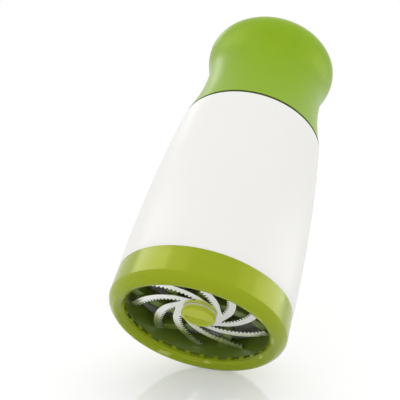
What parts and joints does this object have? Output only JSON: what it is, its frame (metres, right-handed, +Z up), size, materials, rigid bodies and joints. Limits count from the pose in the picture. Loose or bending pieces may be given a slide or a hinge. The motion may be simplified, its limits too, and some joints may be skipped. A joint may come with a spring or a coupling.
{
  "type": "twist herb mill",
  "caption": "Hand herb mill: a domed knob turns an auger and a toothed pinwheel blade in the mouth of a tapered hopper's base ring.",
  "frame": {"origin": "centre of the foot of the base ring, on the surface that the mill stands on", "axes": "+Z up along the turning axis from the base ring to the knob; +X through one bayonet lug"},
  "size_m": [0.0756, 0.0756, 0.17],
  "materials": {
    "white_plastic": "satin gloss moulded",
    "green_plastic": "gloss moulded",
    "inner_green_plastic": "satin moulded",
    "stainless_steel": "bright stamped",
    "seal_rubber": "matt",
    "washer_plastic": "matt"
  },
  "bodies": {
    "hopper_body": {"hopper": "white_plastic"},
    "base": {"base_ring": "green_plastic", "blade_carrier": "inner_green_plastic"},
    "cutter": {"blade": "stainless_steel", "drive_hub": "inner_green_plastic", "hub_clip": "stainless_steel", "hub_washer": "washer_plastic"},
    "cap": {"hub_cap": "green_plastic"},
    "collar": {"swivel_collar": "inner_green_plastic", "collar_seal": "seal_rubber", "thrust_washer": "washer_plastic"},
    "knob": {"knob_shell": "green_plastic", "knob_liner": "inner_green_plastic", "retaining_ring": "stainless_steel", "drive_shaft": "stainless_steel", "shaft_washer": "stainless_steel", "shaft_screw": "stainless_steel", "auger": "inner_green_plastic", "auger_clip": "stainless_steel", "liner_screw_1": "stainless_steel", "liner_screw_2": "stainless_steel", "liner_screw_3": "stainless_steel"}
  },
  "joints": [
    {"name": "base_twist", "type": "hinge", "parent": "hopper_body", "child": "base", "pos_m": [0, 0, 0], "axis": [0, 0, 1], "range_deg": [0, 25]},
    {"name": "lid_lift", "type": "slide", "parent": "hopper_body", "child": "collar", "axis": [0, 0, 1], "range_m": [0, 0.1]},
    {"name": "knob_turn", "type": "hinge", "parent": "collar", "child": "knob", "pos_m": [0, 0, 0.11], "axis": [0, 0, 1], "continuous": true},
    {"name": "cutter_turn", "type": "hinge", "parent": "hopper_body", "child": "cutter", "pos_m": [0, 0, 0.01], "axis": [0, 0, 1], "continuous": true},
    {"name": "cap_lock", "type": "hinge", "parent": "cutter", "child": "cap", "pos_m": [0, 0, 0.007], "axis": [0, 0, 1], "range_deg": [0, 60]}
  ],
  "couplings": [
    {"joint": "cutter_turn", "follows": "knob_turn", "ratio": 1}
  ]
}
